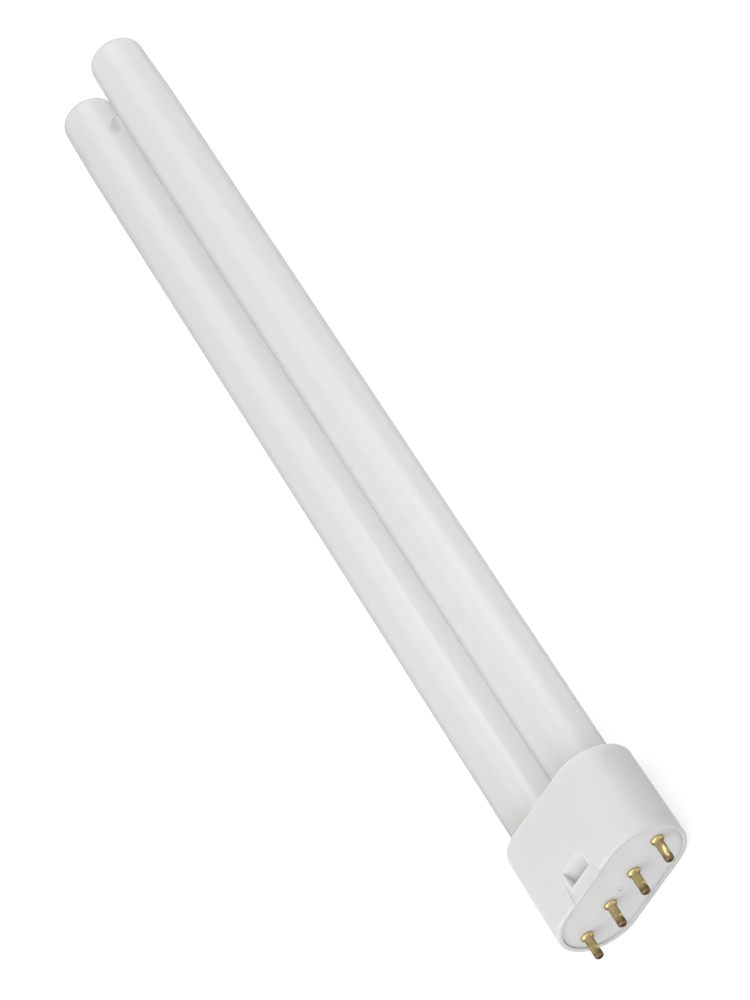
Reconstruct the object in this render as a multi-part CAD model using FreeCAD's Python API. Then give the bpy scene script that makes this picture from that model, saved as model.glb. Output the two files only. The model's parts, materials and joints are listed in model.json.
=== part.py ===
import FreeCAD, Part
import math
import os

from FreeCAD import Vector

# Long twin-tube fluorescent lamp with a four-pin cap, lying on one broad side of the cap.
# X runs along the lamp towards the pins, Y along the row of pins, Z is the cap's thickness.
# A depth is measured from the cap's pin-side rim towards the glass, so pins have negative depth.

# Cap, outside: the margins run from its sides to the outer pins' axes and to the glass
PIN_ROW_MARGIN = 5.4
LEG_SIDE_MARGIN = 4.05
LEG_FACE_MARGIN = 3.5
CAP_HEIGHT = 28.2
CAP_DRAFT = 0.6
RIM_EDGE_R = 0.5
GLASS_EDGE_R = 0.9

# Cap, inside
RIM_WALL = 1.3
CAP_WALL = 1.4
END_WALL = 1.6
LEDGE_WIDTH = 0.9
LEDGE_THICK = 1.2
SOCKET_DEPTH = 7.6
SOCKET_WALL = 1.2
RIB_WIDTH = 1.0
RIB_HEIGHT = 0.9
RIB_Y = 10.5

# Latch pocket and guide recess, the same on both broad faces
GUIDE_DEPTH_AT_RIM = 0.45
GUIDE_LENGTH = 9.0
GUIDE_WIDTH_AT_RIM = 12.0
GUIDE_WIDTH_INNER = 9.0
POCKET_WIDTH = 7.9
POCKET_NEAR = 3.7
POCKET_FAR = 8.7
POCKET_DEPTH = 3.4
POCKET_RAMP = 3.6
POCKET_WALL = 1.2

# Pin plate
PLATE_INSET = 0.4
PLATE_THICK = 1.8
PLATE_SEAM = 0.12
BOSS_D = 5.0
BOSS_LENGTH = 3.0
WEB_WIDTH = 1.2
WEB_HEIGHT = 1.6
SKIRT_WALL = 1.0
SKIRT_LENGTH = 3.2
SKIRT_GAP = 0.15
SKIRT_FROM_Y = 13.0
BEAD_REACH = 0.4
BEAD_THICK = 0.8
GATE_D = 2.2
GATE_DEPTH = 0.25
GATE_NUB_D = 0.8
GATE_NUB_LENGTH = 0.2

# Contact pins
PIN_PITCH = 11.0
PIN_COUNT = 4
PIN_D = 2.36
PIN_LENGTH = 6.8
PIN_BORE_D = 1.2
PIN_MOUTH_D = 0.9
PIN_MOUTH_LAND = 0.7
COLLAR_D = 3.4
COLLAR_THICK = 0.35
COLLAR_FLARE = 1.1
FLARE_SAG = 0.3
RIVET_D = 3.3
RIVET_THICK = 0.45
TIP_EDGE_R = 0.5
CRIMP_FROM_TIP = 1.95
CRIMP_R = 1.5
CRIMP_DEPTH = 0.28

# Glass: a reach is measured from the cap's rim to the tip of a leg
SHORT_LEG_REACH = 313.5
REACH_DIFFERENCE = 2.8
LEG_GAP = 2.7
END_TAPER_LENGTH = 22.0
END_NARROWING = 0.8
END_SHOULDER_R = 2.9
END_CROWN_R = 19.0
BRIDGE_D = 6.2
BRIDGE_TO_SHORT_END = 16.1
BRIDGE_FILLET = 1.1
SEAL_START = 19.0
SEAL_FLAT = 14.0
SEAL_END = 10.6
SEAL_WIDTH = 11.5
SEAL_THICK = 3.4
EXHAUST_D = 3.0
EXHAUST_LENGTH = 2.6

# Bonding compound and leads
CEMENT_WALL = 0.65
SOCKET_CLEARANCE = 0.15
LEAD_D = 0.6
LEAD_SPREAD = 3.4
LEAD_STRAIGHT = 1.3
LEAD_BEND_R = 1.2
LEAD_FROM_TIP = 0.15

# How far a cutter runs past what it cuts, and how far a joined feature is rooted in its base
OVERRUN = 1.0
ROOT = 0.2

# Derived sizes and places
CAP_WIDTH = (PIN_COUNT - 1) * PIN_PITCH + 2 * PIN_ROW_MARGIN
LEG_D = (CAP_WIDTH - 2 * LEG_SIDE_MARGIN - LEG_GAP) / 2
CAP_THICK = LEG_D + 2 * LEG_FACE_MARGIN
LEG_SPACING = LEG_D + LEG_GAP
LEG_R = LEG_D / 2
END_D = LEG_D - END_NARROWING
LONG_LEG_REACH = SHORT_LEG_REACH + REACH_DIFFERENCE
PIN_STAND = PIN_LENGTH - PLATE_INSET
FACE_X = (LONG_LEG_REACH + PIN_STAND) / 2 - PIN_STAND
AXIS_Z = CAP_THICK / 2
PLATE_BACK = PLATE_INSET + PLATE_THICK
LEDGE_BACK = PLATE_BACK + LEDGE_THICK
BOSS_BACK = PLATE_BACK + BOSS_LENGTH
SOCKET_INNER = CAP_HEIGHT - END_WALL - SOCKET_DEPTH
SOCKET_R = LEG_R + CEMENT_WALL
DRAFT_SLOPE = math.tan(math.radians(CAP_DRAFT))
X_DIR = Vector(1, 0, 0)
Y_DIR = Vector(0, 1, 0)
Z_DIR = Vector(0, 0, 1)


def at(depth, y=0.0, z=0.0):
    """Point at a depth from the pin-side rim, with z measured from the lamp's axis."""
    return Vector(FACE_X - depth, y, AXIS_Z + z)


def round_bar(depth_from, depth_to, radius, y=0.0, z=0.0):
    """Cylinder along X between two depths."""
    length = depth_to - depth_from
    return Part.makeCylinder(radius, length, at(depth_from, y, z), -X_DIR)


def block(depth_from, depth_to, y_from, y_to, z_from, z_to):
    corner = at(depth_to, y_from, z_from)
    return Part.makeBox(depth_to - depth_from, y_to - y_from, z_to - z_from, corner)


def stadium(depth, width, thick, y=0.0):
    """Outline with straight long sides and half-round ends, across the lamp at a depth."""
    end_r = thick / 2
    straight = width / 2 - end_r
    top_left = at(depth, y - straight, end_r)
    top_right = at(depth, y + straight, end_r)
    low_right = at(depth, y + straight, -end_r)
    low_left = at(depth, y - straight, -end_r)
    right_arc = Part.Arc(top_right, at(depth, y + width / 2), low_right)
    left_arc = Part.Arc(low_left, at(depth, y - width / 2), top_left)
    return Part.Wire([
        Part.LineSegment(top_left, top_right).toShape(),
        right_arc.toShape(),
        Part.LineSegment(low_right, low_left).toShape(),
        left_arc.toShape(),
    ])


def circle_in_four(depth, radius, split, y=0.0):
    """Circle cut at four points, so that it lofts edge by edge to a stadium."""
    def rim(angle):
        return at(depth, y + radius * math.cos(angle), radius * math.sin(angle))

    corners = [math.pi - split, split, -split, split - math.pi]
    middles = [math.pi / 2, 0.0, -math.pi / 2, math.pi]
    edges = []
    for index, middle in enumerate(middles):
        start = rim(corners[index])
        end = rim(corners[(index + 1) % 4])
        edges.append(Part.Arc(start, rim(middle), end).toShape())
    return Part.Wire(edges)


def drafted(depth_from, depth_to, inset):
    """Solid between two depths that keeps a fixed distance inside the cap's drafted outside."""
    def section(depth):
        shrink = 2 * (inset + depth * DRAFT_SLOPE)
        return stadium(depth, CAP_WIDTH - shrink, CAP_THICK - shrink)

    return Part.makeLoft([section(depth_from), section(depth_to)], True, True)


def edges_at_depth(shape, depth):
    """Edges that lie wholly in the plane at one depth."""
    x = FACE_X - depth
    box_of = [(edge, edge.BoundBox) for edge in shape.Edges]
    return [edge for edge, box in box_of if abs(box.XMin - x) < 0.01 and abs(box.XMax - x) < 0.01]


def mirrored_z(shape):
    """The same form on the other broad face."""
    return shape.mirror(at(0), Z_DIR)


def revolved(profile, y=0.0):
    """Solid of revolution about the lengthwise axis at y, from edges of (depth, radius) points."""
    wire = Part.Wire(profile)
    return Part.Face(wire).revolve(at(0, y), X_DIR, 360)


def polyline(points):
    segments = []
    for start, end in zip(points, points[1:]):
        segments.append(Part.LineSegment(start, end).toShape())
    return segments


# Cap shell

def guide_recess():
    """Shallow lead-in for the holder's latch, wider and deeper at the rim and running out at its inner end."""
    outer = GUIDE_WIDTH_AT_RIM / 2
    inner = GUIDE_WIDTH_INNER / 2
    narrowing = (outer - inner) / GUIDE_LENGTH
    rise = GUIDE_DEPTH_AT_RIM / GUIDE_LENGTH - DRAFT_SLOPE

    def corner(depth, side):
        half = outer - narrowing * depth
        return at(depth, side * half, CAP_THICK / 2 - GUIDE_DEPTH_AT_RIM + rise * depth)

    far = GUIDE_LENGTH + OVERRUN
    corners = [corner(-OVERRUN, -1), corner(-OVERRUN, 1), corner(far, 1), corner(far, -1)]
    face = Part.Face(Part.makePolygon(corners + corners[:1]))
    return face.extrude(Z_DIR * CAP_THICK)


def pocket_prism(grow, z_top):
    """Wedge that the latch clicks into: a ramp from the glass side and a steep wall at the pins."""
    z_face = CAP_THICK / 2 - POCKET_FAR * DRAFT_SLOPE
    z_floor = z_face - POCKET_DEPTH - grow
    slant = POCKET_DEPTH / POCKET_RAMP
    ramp_foot = POCKET_FAR + grow * math.sqrt(1 + slant ** 2) / slant
    half = POCKET_WIDTH / 2 + grow
    corners = [
        at(POCKET_NEAR - grow, -half, z_top),
        at(POCKET_NEAR - grow, -half, z_floor),
        at(ramp_foot + (z_floor - z_face) / slant, -half, z_floor),
        at(ramp_foot + (z_top - z_face) / slant, -half, z_top),
    ]
    face = Part.Face(Part.makePolygon(corners + corners[:1]))
    return face.extrude(Y_DIR * 2 * half)


def inner_ribs():
    """Stiffening ribs along the cavity's broad walls, from the ledge to the sockets."""
    wall_z = CAP_THICK / 2 - CAP_WALL
    ribs = []
    for side in (-1, 1):
        y = side * RIB_Y
        rib = block(LEDGE_BACK, SOCKET_INNER, y - RIB_WIDTH / 2, y + RIB_WIDTH / 2, wall_z - RIB_HEIGHT,
                    wall_z + CAP_WALL / 2)
        ribs.extend([rib, mirrored_z(rib)])
    return ribs


def cap_shell():
    outside = drafted(0, CAP_HEIGHT, 0)
    outside = outside.makeFillet(RIM_EDGE_R, edges_at_depth(outside, 0))
    outside = outside.makeFillet(GLASS_EDGE_R, edges_at_depth(outside, CAP_HEIGHT))

    plate_seat = drafted(-OVERRUN, PLATE_BACK, RIM_WALL)
    throat = drafted(PLATE_BACK - ROOT, LEDGE_BACK + ROOT, RIM_WALL + LEDGE_WIDTH)
    cavity = drafted(LEDGE_BACK, CAP_HEIGHT - END_WALL, CAP_WALL)
    shell = outside.cut([plate_seat, throat, cavity])

    liner = pocket_prism(POCKET_WALL, (CAP_THICK - CAP_WALL) / 2)
    sockets = []
    bores = []
    for side in (-1, 1):
        y = side * LEG_SPACING / 2
        sockets.append(round_bar(SOCKET_INNER, CAP_HEIGHT - END_WALL / 2, SOCKET_R + SOCKET_WALL, y))
        bores.append(round_bar(SOCKET_INNER - OVERRUN, CAP_HEIGHT - END_WALL, SOCKET_R, y))
        bores.append(round_bar(SOCKET_INNER, CAP_HEIGHT + OVERRUN, LEG_R + SOCKET_CLEARANCE, y))
    shell = shell.fuse([liner, mirrored_z(liner)] + sockets + inner_ribs())

    pocket = pocket_prism(0, CAP_THICK / 2 + OVERRUN)
    recess = guide_recess()
    shell = shell.cut(bores + [pocket, mirrored_z(pocket), recess, mirrored_z(recess)])
    return shell.removeSplitter()


# Pin plate

def pin_places():
    return [(index - (PIN_COUNT - 1) / 2) * PIN_PITCH for index in range(PIN_COUNT)]


def plate_skirt(inset_outer, inset_inner, depth_from, depth_to):
    """Wall that follows the cap's half-round ends inside the ledge, at both ends of the plate."""
    cut_from = depth_from - OVERRUN
    cut_to = depth_to + OVERRUN
    hollow = drafted(cut_from, cut_to, inset_inner)
    middle = block(cut_from, cut_to, -SKIRT_FROM_Y, SKIRT_FROM_Y, -CAP_THICK, CAP_THICK)
    return drafted(depth_from, depth_to, inset_outer).cut([hollow, middle])


def pin_plate():
    plate = drafted(PLATE_INSET, PLATE_BACK, RIM_WALL + PLATE_SEAM)
    root = PLATE_BACK - ROOT
    skirt_out = RIM_WALL + LEDGE_WIDTH + SKIRT_GAP
    skirt = plate_skirt(skirt_out, skirt_out + SKIRT_WALL, root, PLATE_BACK + SKIRT_LENGTH)
    bead_depth = LEDGE_BACK + SKIRT_GAP
    bead = plate_skirt(skirt_out - BEAD_REACH, skirt_out + SKIRT_WALL, bead_depth, bead_depth + BEAD_THICK)

    places = pin_places()
    bosses = [round_bar(root, BOSS_BACK, BOSS_D / 2, y) for y in places]
    web = block(root, PLATE_BACK + WEB_HEIGHT, places[0], places[-1], -WEB_WIDTH / 2, WEB_WIDTH / 2)
    holes = [round_bar(PLATE_INSET - OVERRUN, BOSS_BACK + OVERRUN, PIN_D / 2, y) for y in places]
    gate_floor = PLATE_INSET + GATE_DEPTH
    gate = round_bar(PLATE_INSET - OVERRUN, gate_floor, GATE_D / 2)
    nub = round_bar(gate_floor - GATE_NUB_LENGTH, gate_floor + ROOT, GATE_NUB_D / 2)
    plate = plate.fuse([skirt, bead, web] + bosses)
    return plate.cut(holes + [gate]).fuse(nub).removeSplitter()


# Contact pins

def pin_profile(y):
    """Half section of a hollow pin: riveted foot, shank, flared collar, shaft, rounded tip."""
    def point(depth, radius):
        return at(depth, y + radius)

    shaft = PIN_D / 2
    collar = COLLAR_D / 2
    face = PLATE_INSET
    tip = -PIN_STAND
    collar_top = face - COLLAR_THICK
    flare_end = face - COLLAR_THICK - COLLAR_FLARE
    flare_middle = point(collar_top - COLLAR_FLARE * FLARE_SAG, shaft + (collar - shaft) * FLARE_SAG)
    edge_turn = TIP_EDGE_R * (1 - math.cos(math.pi / 4))
    back = BOSS_BACK + RIVET_THICK
    mouth = PIN_MOUTH_D / 2
    bore = PIN_BORE_D / 2
    land = tip + PIN_MOUTH_LAND
    outline = polyline([
        point(tip, mouth),
        point(tip, shaft - TIP_EDGE_R),
    ])
    outline.append(Part.Arc(
        point(tip, shaft - TIP_EDGE_R),
        point(tip + edge_turn, shaft - edge_turn),
        point(tip + TIP_EDGE_R, shaft),
    ).toShape())
    outline += polyline([point(tip + TIP_EDGE_R, shaft), point(flare_end, shaft)])
    outline.append(Part.Arc(point(flare_end, shaft), flare_middle, point(collar_top, collar)).toShape())
    outline += polyline([
        point(collar_top, collar),
        point(face, collar),
        point(face, shaft),
        point(BOSS_BACK, shaft),
        point(BOSS_BACK, RIVET_D / 2),
        point(back, RIVET_D / 2),
        point(back, bore),
        point(land + bore - mouth, bore),
        point(land, mouth),
        point(tip, mouth),
    ])
    return outline


def contact_pin(y):
    pin = revolved(pin_profile(y), y)
    crimp_depth = CRIMP_FROM_TIP - PIN_STAND
    reach = PIN_D / 2 - CRIMP_DEPTH + CRIMP_R
    crimps = []
    for side in (-1, 1):
        start = at(crimp_depth, y + side * reach, -PIN_D)
        crimps.append(Part.makeCylinder(CRIMP_R, 2 * PIN_D, start, Z_DIR))
    return pin.cut(crimps)


# Glass

def leg_profile(reach, y):
    """Half section of a leg: domed crown, rounded shoulder, slight taper, straight tube."""
    def point(depth, radius):
        return at(depth, y + radius)

    def on_circle(centre_depth, centre_radius, radius, angle):
        return point(centre_depth + radius * math.cos(angle), centre_radius + radius * math.sin(angle))

    end_r = END_D / 2
    crown_centre = reach - END_CROWN_R
    offset = end_r - END_SHOULDER_R
    shoulder_centre = crown_centre + math.sqrt((END_CROWN_R - END_SHOULDER_R) ** 2 - offset ** 2)
    meet = math.asin(offset / (END_CROWN_R - END_SHOULDER_R))
    turn = (meet + math.pi / 2) / 2
    apex = point(reach, 0)
    crown_edge = on_circle(crown_centre, 0, END_CROWN_R, meet)
    shoulder_end = point(shoulder_centre, end_r)
    crown = Part.Arc(apex, on_circle(crown_centre, 0, END_CROWN_R, meet / 2), crown_edge)
    shoulder = Part.Arc(crown_edge, on_circle(shoulder_centre, offset, END_SHOULDER_R, turn), shoulder_end)
    sides = polyline([
        shoulder_end,
        point(reach - END_TAPER_LENGTH, LEG_R),
        point(SEAL_START, LEG_R),
        point(SEAL_START, 0),
        apex,
    ])
    return [crown.toShape(), shoulder.toShape()] + sides


def press_seal(y):
    """Round tube squeezed flat round the two leads, with the tipped-off exhaust stub."""
    corner = math.atan2(SEAL_THICK / 2, SEAL_WIDTH / 2 - SEAL_THICK / 2)
    squeeze = Part.makeLoft([
        circle_in_four(SEAL_START, LEG_R, corner, y),
        stadium(SEAL_FLAT, SEAL_WIDTH, SEAL_THICK, y),
    ], True, True)
    flat = Part.Face(stadium(SEAL_END, SEAL_WIDTH, SEAL_THICK, y)).extrude(-X_DIR * (SEAL_FLAT - SEAL_END))
    tip_r = EXHAUST_D / 2
    stub = round_bar(SEAL_END - EXHAUST_LENGTH + tip_r, SEAL_END, tip_r, y)
    tip = Part.makeSphere(tip_r, at(SEAL_END - EXHAUST_LENGTH + tip_r, y))
    return [squeeze, flat, stub.fuse(tip)]


def discharge_tube():
    left = -LEG_SPACING / 2
    right = LEG_SPACING / 2
    legs = revolved(leg_profile(SHORT_LEG_REACH, left), left)
    long_leg = revolved(leg_profile(LONG_LEG_REACH, right), right)
    bridge_depth = SHORT_LEG_REACH - BRIDGE_TO_SHORT_END
    bridge = Part.makeCylinder(BRIDGE_D / 2, LEG_SPACING, at(bridge_depth, left), Y_DIR)
    glass = legs.fuse([long_leg, bridge])
    waist = [edge for edge in glass.Edges if is_bridge_seam(edge, bridge_depth)]
    glass = glass.makeFillet(BRIDGE_FILLET, waist)
    return glass.fuse(press_seal(left) + press_seal(right)).removeSplitter()


def is_bridge_seam(edge, depth):
    """True for the saddle curves where the bridge runs into a leg."""
    box = edge.BoundBox
    x = FACE_X - depth
    reach = BRIDGE_D / 2 + 0.1
    inside = box.XMin > x - reach and box.XMax < x + reach
    return inside and abs(box.Center.y) < LEG_SPACING / 4 and box.YLength < LEG_R / 2


# Bonding compound and leads

def cement(y):
    """Ring of compound that fills the socket round one leg."""
    outer = round_bar(SOCKET_INNER, CAP_HEIGHT - END_WALL, SOCKET_R, y)
    return outer.cut(round_bar(SOCKET_INNER - OVERRUN, CAP_HEIGHT, LEG_R, y))


def lead_wire(seal_y, pin_y):
    """Lead from the flat seal, over a double bend, through the hollow pin to its mouth."""
    start = at(SEAL_END, seal_y)
    first = at(SEAL_END - LEAD_STRAIGHT, seal_y)
    second = at(BOSS_BACK + RIVET_THICK + LEAD_STRAIGHT, pin_y)
    end = at(LEAD_FROM_TIP - PIN_STAND, pin_y)
    path = rounded_path([start, first, second, end], LEAD_BEND_R)
    profile = Part.Wire(Part.makeCircle(LEAD_D / 2, start, X_DIR))
    return path.makePipeShell([profile], True, False)


def rounded_path(points, radius):
    """Straight runs joined by tangent arcs of one radius."""
    edges = []
    last = points[0]
    for before, corner, after in zip(points, points[1:], points[2:]):
        towards = (corner - before).normalize()
        away = (after - corner).normalize()
        turn = towards.getAngle(away)
        cut_back = radius * math.tan(turn / 2)
        enter = corner - towards * cut_back
        leave = corner + away * cut_back
        inward = (away - towards).normalize()
        middle = corner + inward * (radius / math.cos(turn / 2) - radius)
        edges.append(Part.LineSegment(last, enter).toShape())
        edges.append(Part.Arc(enter, middle, leave).toShape())
        last = leave
    edges.append(Part.LineSegment(last, points[-1]).toShape())
    return Part.Wire(edges)


def build():
    parts = {
        "discharge_tube": discharge_tube(),
        "cap_shell": cap_shell(),
        "pin_plate": pin_plate(),
        "cement_left": cement(-LEG_SPACING / 2),
        "cement_right": cement(LEG_SPACING / 2),
    }
    places = pin_places()
    for number, y in enumerate(places, start=1):
        parts[f"contact_pin_{number}"] = contact_pin(y)
        leg_y = math.copysign(LEG_SPACING / 2, y)
        outward = 1 if abs(y) > abs(leg_y) else -1
        seal_y = leg_y + outward * math.copysign(LEAD_SPREAD, leg_y)
        parts[f"lead_wire_{number}"] = lead_wire(seal_y, y)
    return parts


os.makedirs("parts", exist_ok=True)
for name, shape in build().items():
    box = shape.optimalBoundingBox(False)
    print(f"{name}: solids {len(shape.Solids)}, valid {shape.isValid()}, volume {shape.Volume:.1f}, "
          f"size {box.XLength:.2f} x {box.YLength:.2f} x {box.ZLength:.2f}, lowest {box.ZMin:.3f}")
    shape.Solids[0].exportStep(f"parts/{name}.step")
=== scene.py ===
"""Studio scene for a long twin-tube fluorescent lamp with a four-pin cap, lying on a white floor."""

import json
import math

import bpy
from mathutils import Matrix, Vector

# Camera
CAMERA_AZIMUTH = math.radians(37.73)
CAMERA_ELEVATION = math.radians(39.83)
CAMERA_ROLL = math.radians(-83.45)
CAMERA_AIM = Vector((0.01705, 0.00149, 0.01175))
CAMERA_DISTANCE = 1.1639
CAMERA_LENS = 163.1
CAMERA_SENSOR = 36.0
CAMERA_CLIP_START = 0.01
CAMERA_CLIP_END = 20.0

# The lamp lies on the glass-side edge of its cap and on the far ends of its legs
REST_EDGE = Vector((0.12765, 0.0, 0.000286))
REST_TILT = math.radians(0.69)
FLOOR_HALF = 4.0

# Places on the lamp, in metres in the row frame
CAP_BACK_X = 0.12675
RIM_X = 0.15495
CREAM_FROM_X = CAP_BACK_X - 0.024
GREY_FROM_X = 0.06
CLOSED_END_X = -0.16
TIP_FROM_X = RIM_X + 0.0036
TIP_TO_X = RIM_X + 0.0062
# Painted shade: a darker spot centred in the nook where the bridge meets the left leg, full within
# the inner distance and gone at the outer
BRIDGE_NOOK_SHADE = (-0.1417, -0.0012, 0.0148)
NOOK_SHADE_INNER = 0.0006
NOOK_SHADE_OUTER = 0.0030

# Colours, linear
WHITE = (1.0, 1.0, 1.0)
COAT = (0.857, 0.858, 0.857)
COAT_POWDER = (0.863, 0.864, 0.863)
COAT_BY_CAP = (0.945, 0.950, 0.915)
COAT_FAR_END = (0.834, 0.835, 0.834)
# Painted shade for the nook beside the bridge
COAT_NOOK_SHADE = (0.68, 0.68, 0.68)
# Painted edge shade: the colour the coat darkens to where the tube turns away from view
GLASS_EDGE_SHADE = (0.36, 0.37, 0.37)
CAP_WHITE = (0.724, 0.738, 0.733)
CAP_DEEP = (0.714, 0.730, 0.725)
PLATE_WHITE = (0.792, 0.796, 0.807)
PLATE_DEEP = (0.782, 0.786, 0.797)
BRASS = (0.54, 0.435, 0.21)
BRASS_BROWN = (0.155, 0.105, 0.06)
BRASS_GRAZING = (0.22, 0.18, 0.12)
WIRE = (0.56, 0.53, 0.49)
WIRE_DARK = (0.38, 0.34, 0.30)
WIRE_END = (0.16, 0.12, 0.08)
COMPOUND = (0.72, 0.71, 0.67)
COMPOUND_DARK = (0.60, 0.58, 0.54)
FLOOR_GREY = (0.42, 0.42, 0.42)

# Shares of one look in another
POWDER_RANGE = (0.3, 0.7)
CREAM_SHARE = 0.6
# Next: how far the painted edge shade goes at the silhouettes
EDGE_SHADE_SHARE = 0.75
TRANSLUCENT_SHARE = 0.62
BLOTCH_SHARE = 0.30
TIP_SHARE = 0.95

# Strengths: the floor's white to the eye, and the world's to the eye and on the object
FLOOR_LIFT = 0.70
WORLD_WHITE = 1.0
WORLD_AMBIENT = 0.48

# Lamps: name, place, aim, width and height in metres, power in watts
LAMPS = (
    ("key", (-0.60, 0.48, 0.65), (0.0, 0.0, 0.012), 1.15, 0.7, 4.15),
    ("streak", (-0.28, 0.57, 0.23), (0.10, 0.0, 0.012), 0.48, 0.26, 1.0),
    ("left_fill", (0.48, -0.64, 0.82), (0.02, 0.0, 0.012), 0.8, 0.6, 2.6),
    ("front_left", (0.80, -0.22, 0.30), (0.10, 0.0, 0.012), 1.0, 1.4, 4.9),
)


def new_material(name):
    material = bpy.data.materials.new(name)
    material.use_nodes = True
    tree = material.node_tree
    tree.nodes.clear()
    return material, tree


def add(tree, kind, **settings):
    node = tree.nodes.new(kind)
    for key, value in settings.items():
        setattr(node, key, value)
    return node


def finish_surface(tree, shader):
    output = add(tree, "ShaderNodeOutputMaterial")
    tree.links.new(shader, output.inputs["Surface"])


def position(tree):
    """Place on the object in metres; every mesh has its place in its vertices."""
    return add(tree, "ShaderNodeTexCoord").outputs["Object"]


def lengthwise(tree, vector):
    """Place along the lamp's axis, from the closed ends to the pins."""
    node = add(tree, "ShaderNodeSeparateXYZ")
    tree.links.new(vector, node.inputs[0])
    return node.outputs["X"]


def noise(tree, vector, scale, detail, roughness=0.5, stretch=None):
    if stretch is not None:
        mapping = add(tree, "ShaderNodeMapping")
        mapping.inputs["Scale"].default_value = stretch
        tree.links.new(vector, mapping.inputs["Vector"])
        vector = mapping.outputs["Vector"]
    node = add(tree, "ShaderNodeTexNoise")
    node.inputs["Scale"].default_value = scale
    node.inputs["Detail"].default_value = detail
    node.inputs["Roughness"].default_value = roughness
    tree.links.new(vector, node.inputs["Vector"])
    return node.outputs["Fac"]


def span(tree, value, low, high, to_low=0.0, to_high=1.0, smooth=True):
    """The value brought from one range to another and held at its ends."""
    interpolation = "SMOOTHSTEP" if smooth else "LINEAR"
    node = add(tree, "ShaderNodeMapRange", interpolation_type=interpolation)
    node.inputs["From Min"].default_value = low
    node.inputs["From Max"].default_value = high
    node.inputs["To Min"].default_value = to_low
    node.inputs["To Max"].default_value = to_high
    tree.links.new(value, node.inputs["Value"])
    return node.outputs["Result"]


def near(tree, vector, centre, inner, outer):
    """1 within the inner distance of a point, fading to 0 at the outer one."""
    node = add(tree, "ShaderNodeVectorMath", operation="DISTANCE")
    tree.links.new(vector, node.inputs[0])
    node.inputs[1].default_value = centre
    return span(tree, node.outputs["Value"], inner, outer, to_low=1.0, to_high=0.0)


def mixed(tree, factor, first, second):
    """Colour between two colours; each is a tuple or a socket."""
    node = add(tree, "ShaderNodeMix", data_type="RGBA")
    tree.links.new(factor, node.inputs["Factor"])
    for name, value in (("A", first), ("B", second)):
        socket = [s for s in node.inputs if s.name == name and s.type == "RGBA"][0]
        if isinstance(value, tuple):
            socket.default_value = (*value, 1.0)
        else:
            tree.links.new(value, socket)
    return [s for s in node.outputs if s.type == "RGBA"][0]


def combined(tree, operation, first, second):
    """Result of a Math node on two values; the second is a float or a socket."""
    node = add(tree, "ShaderNodeMath", operation=operation)
    tree.links.new(first, node.inputs[0])
    if isinstance(second, float):
        node.inputs[1].default_value = second
    else:
        tree.links.new(second, node.inputs[1])
    return node.outputs[0]


def bump(tree, height, distance, strength):
    node = add(tree, "ShaderNodeBump")
    node.inputs["Strength"].default_value = strength
    node.inputs["Distance"].default_value = distance
    tree.links.new(height, node.inputs["Height"])
    return node.outputs["Normal"]


def principled(tree, **settings):
    """Principled shader; a setting is a plain number, a tuple or a socket."""
    shader = add(tree, "ShaderNodeBsdfPrincipled")
    for key, value in settings.items():
        socket = shader.inputs[key.replace("_", " ")]
        if isinstance(value, bpy.types.NodeSocket):
            tree.links.new(value, socket)
        elif isinstance(value, tuple) and socket.type == "RGBA":
            socket.default_value = (*value, 1.0)
        else:
            socket.default_value = value
    return shader.outputs["BSDF"]


def coated_glass():
    """White phosphor coat that lets light through, under clear glass; its colour carries painted
    shade towards the edges, where the surface turns from view, standing in for the clear glass wall
    seen edge-on.

    The coat is creamier by the cap and greyer towards the closed ends. It carries painted shade in
    the nook where the bridge meets the leg.
    """
    material, tree = new_material("coated_glass")
    where = position(tree)
    x = lengthwise(tree, where)
    grain = noise(tree, where, scale=1400.0, detail=3.0)
    powder = span(tree, grain, *POWDER_RANGE, smooth=False)
    body = mixed(tree, powder, COAT, COAT_POWDER)
    by_cap = combined(tree, "MULTIPLY", span(tree, x, CREAM_FROM_X, CAP_BACK_X), CREAM_SHARE)
    body = mixed(tree, by_cap, body, COAT_BY_CAP)
    far = span(tree, x, CLOSED_END_X, GREY_FROM_X, to_low=1.0, to_high=0.0, smooth=False)
    body = mixed(tree, far, body, COAT_FAR_END)
    # Painted shade in the nook where the bridge joins the leg
    nook_shade = near(tree, where, BRIDGE_NOOK_SHADE, NOOK_SHADE_INNER, NOOK_SHADE_OUTER)
    body = mixed(tree, nook_shade, body, COAT_NOOK_SHADE)
    # Painted shade: the colour darkens towards the silhouettes, by how far the surface turns from
    # view
    facing = add(tree, "ShaderNodeLayerWeight").outputs["Facing"]
    edge = span(tree, facing, 0.55, 1.0, to_high=EDGE_SHADE_SHARE, smooth=False)
    body = mixed(tree, edge, body, GLASS_EDGE_SHADE)
    normal = bump(tree, grain, distance=0.000005, strength=0.1)
    rough = span(tree, grain, *POWDER_RANGE, to_low=0.23, to_high=0.25, smooth=False)
    face = principled(
        tree, Base_Color=body, Roughness=rough, IOR=1.5, Normal=normal,
        Coat_Weight=0.7, Coat_Roughness=0.2
    )
    through = add(tree, "ShaderNodeBsdfTranslucent")
    tree.links.new(body, through.inputs["Color"])
    both = add(tree, "ShaderNodeMixShader")
    both.inputs["Fac"].default_value = TRANSLUCENT_SHARE
    tree.links.new(face, both.inputs[1])
    tree.links.new(through.outputs[0], both.inputs[2])
    finish_surface(tree, both.outputs[0])
    return material


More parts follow.
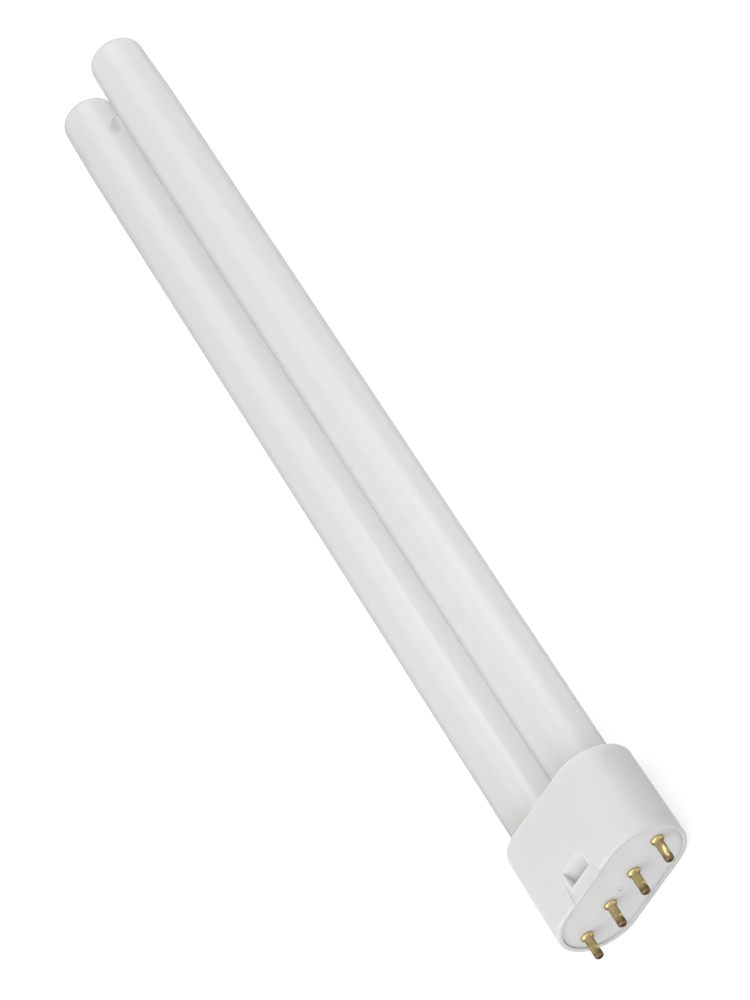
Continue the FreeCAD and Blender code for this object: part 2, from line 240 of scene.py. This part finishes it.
def moulded_plastic(name, colour, deep, roughness):
    """Satin moulded plastic with a fine grain and faint flow clouds."""
    material, tree = new_material(name)
    where = position(tree)
    flow = noise(tree, where, scale=90.0, detail=3.0, stretch=(0.4, 1.0, 1.0))
    grain = noise(tree, where, scale=2600.0, detail=2.0)
    body = mixed(tree, span(tree, flow, 0.35, 0.65), colour, deep)
    rough = span(tree, flow, 0.3, 0.7, to_low=roughness - 0.04, to_high=roughness + 0.04)
    normal = bump(tree, grain, distance=0.00002, strength=0.35)
    finish_surface(tree, principled(
        tree, Base_Color=body, Roughness=rough, IOR=1.48, Normal=normal,
        Subsurface_Weight=0.6, Subsurface_Radius=(1.0, 1.0, 1.0), Subsurface_Scale=0.003
    ))
    return material


def toned_brass():
    """Drawn brass with blotches and fine rings round the shaft, browner towards the pin tips."""
    material, tree = new_material("pin_brass")
    where = position(tree)
    blotch = noise(tree, where, scale=700.0, detail=4.0, roughness=0.6)
    tip = span(tree, lengthwise(tree, where), TIP_FROM_X, TIP_TO_X)
    tone = combined(
        tree, "MAXIMUM",
        combined(tree, "MULTIPLY", span(tree, blotch, 0.4, 0.68), BLOTCH_SHARE),
        combined(tree, "MULTIPLY", tip, TIP_SHARE)
    )
    body = mixed(tree, tone, BRASS, BRASS_BROWN)
    rings = noise(tree, where, scale=60.0, detail=2.0, stretch=(120.0, 1.0, 1.0))
    normal = bump(tree, rings, distance=0.00001, strength=0.4)
    rough = span(tree, blotch, 0.35, 0.7, to_low=0.19, to_high=0.29)
    finish_surface(tree, principled(
        tree, Base_Color=body, Metallic=1.0, Roughness=rough, Normal=normal,
        Specular_Tint=BRASS_GRAZING
    ))
    return material


def plain_wire():
    """Drawn lead wire, browner at the ends that the pin mouths show."""
    material, tree = new_material("lead_metal")
    where = position(tree)
    drawn = noise(tree, where, scale=1500.0, detail=3.0, stretch=(0.1, 1.0, 1.0))
    body = mixed(tree, span(tree, drawn, 0.35, 0.65), WIRE, WIRE_DARK)
    tip = span(tree, lengthwise(tree, where), TIP_FROM_X, TIP_TO_X)
    body = mixed(tree, tip, body, WIRE_END)
    normal = bump(tree, drawn, distance=0.00001, strength=0.4)
    finish_surface(tree, principled(
        tree, Base_Color=body, Metallic=1.0, Roughness=0.5, Normal=normal
    ))
    return material


def dull_compound():
    """Lumpy bonding compound between the glass and its sockets."""
    material, tree = new_material("bonding_compound")
    lumps = noise(tree, position(tree), scale=800.0, detail=5.0, roughness=0.6)
    body = mixed(tree, span(tree, lumps, 0.35, 0.7), COMPOUND, COMPOUND_DARK)
    normal = bump(tree, lumps, distance=0.0001, strength=0.6)
    finish_surface(tree, principled(tree, Base_Color=body, Roughness=0.85, Normal=normal))
    return material


def background_rays(tree):
    """1 for the rays that see the white background: camera, glossy and transmission ones."""
    path = add(tree, "ShaderNodeLightPath").outputs
    seen = combined(tree, "MAXIMUM", path["Is Camera Ray"], path["Is Glossy Ray"])
    return combined(tree, "MAXIMUM", seen, path["Is Transmission Ray"])


def white_floor():
    material, tree = new_material("white_floor")
    diffuse = add(tree, "ShaderNodeBsdfDiffuse")
    diffuse.inputs["Color"].default_value = (*FLOOR_GREY, 1.0)
    lift = add(tree, "ShaderNodeEmission")
    lift.inputs["Color"].default_value = (*WHITE, 1.0)
    strength = combined(tree, "MULTIPLY", background_rays(tree), FLOOR_LIFT)
    tree.links.new(strength, lift.inputs["Strength"])
    both = add(tree, "ShaderNodeAddShader")
    tree.links.new(diffuse.outputs[0], both.inputs[0])
    tree.links.new(lift.outputs[0], both.inputs[1])
    finish_surface(tree, both.outputs[0])
    return material


def background(tree, strength):
    node = add(tree, "ShaderNodeBackground")
    node.inputs["Color"].default_value = (*WHITE, 1.0)
    node.inputs["Strength"].default_value = strength
    return node.outputs[0]


def studio_world():
    world = bpy.data.worlds.new("studio")
    bpy.context.scene.world = world
    world.use_nodes = True
    tree = world.node_tree
    tree.nodes.clear()
    choose = add(tree, "ShaderNodeMixShader")
    tree.links.new(background_rays(tree), choose.inputs["Fac"])
    tree.links.new(background(tree, WORLD_AMBIENT), choose.inputs[1])
    tree.links.new(background(tree, WORLD_WHITE), choose.inputs[2])
    output = add(tree, "ShaderNodeOutputWorld")
    tree.links.new(choose.outputs[0], output.inputs["Surface"])


def softbox(name, place, aim, width, height, power):
    light = bpy.data.lights.new(name, "AREA")
    light.shape = "RECTANGLE"
    light.size = width
    light.size_y = height
    light.energy = power
    lamp = bpy.data.objects.new(name, light)
    bpy.context.scene.collection.objects.link(lamp)
    lamp.location = place
    beam = (Vector(aim) - Vector(place)).normalized()
    lamp.rotation_mode = "QUATERNION"
    lamp.rotation_quaternion = beam.to_track_quat("-Z", "X")


def make_floor():
    mesh = bpy.data.meshes.new("floor")
    corners = [
        (-FLOOR_HALF, -FLOOR_HALF, 0), (FLOOR_HALF, -FLOOR_HALF, 0),
        (FLOOR_HALF, FLOOR_HALF, 0), (-FLOOR_HALF, FLOOR_HALF, 0),
    ]
    mesh.from_pydata(corners, [], [(0, 1, 2, 3)])
    floor = bpy.data.objects.new("floor", mesh)
    bpy.context.scene.collection.objects.link(floor)
    floor.location = REST_EDGE
    floor.rotation_euler = (0.0, REST_TILT, 0.0)
    mesh.materials.append(white_floor())


def make_camera():
    back = Vector((
        math.cos(CAMERA_AZIMUTH) * math.cos(CAMERA_ELEVATION),
        math.sin(CAMERA_AZIMUTH) * math.cos(CAMERA_ELEVATION),
        math.sin(CAMERA_ELEVATION),
    ))
    right = (-back).cross(Vector((0, 0, 1))).normalized()
    up = right.cross(-back)
    turned = math.cos(CAMERA_ROLL) * right + math.sin(CAMERA_ROLL) * up
    upright = -math.sin(CAMERA_ROLL) * right + math.cos(CAMERA_ROLL) * up
    data = bpy.data.cameras.new("camera")
    data.lens = CAMERA_LENS
    data.sensor_width = CAMERA_SENSOR
    data.clip_start = CAMERA_CLIP_START
    data.clip_end = CAMERA_CLIP_END
    camera = bpy.data.objects.new("camera", data)
    bpy.context.scene.collection.objects.link(camera)
    place = CAMERA_AIM + CAMERA_DISTANCE * back
    turn = Matrix((turned, upright, back)).transposed().to_quaternion()
    camera.matrix_world = Matrix.LocRotScale(place, turn, None)
    bpy.context.scene.camera = camera


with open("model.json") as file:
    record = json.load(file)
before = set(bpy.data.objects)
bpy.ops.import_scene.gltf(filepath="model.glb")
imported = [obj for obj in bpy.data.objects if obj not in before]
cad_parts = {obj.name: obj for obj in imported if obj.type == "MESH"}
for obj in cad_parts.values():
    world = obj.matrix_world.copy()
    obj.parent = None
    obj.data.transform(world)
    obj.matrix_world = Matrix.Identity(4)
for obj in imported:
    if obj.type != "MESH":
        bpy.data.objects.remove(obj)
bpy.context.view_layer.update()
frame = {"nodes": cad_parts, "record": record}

materials = {
    "coated_glass": coated_glass(),
    "cap_plastic": moulded_plastic("cap_plastic", CAP_WHITE, CAP_DEEP, roughness=0.42),
    "plate_plastic": moulded_plastic("plate_plastic", PLATE_WHITE, PLATE_DEEP, roughness=0.45),
    "pin_brass": toned_brass(),
    "lead_metal": plain_wire(),
    "bonding_compound": dull_compound(),
}
for part in frame["record"]["subparts"]:
    node = frame["nodes"][part["node"]]
    for slot in node.material_slots:
        slot.material = materials[part["material_slot"]]

make_floor()
studio_world()
for lamp_row in LAMPS:
    softbox(*lamp_row)
make_camera()
bpy.context.scene.view_settings.view_transform = "Standard"
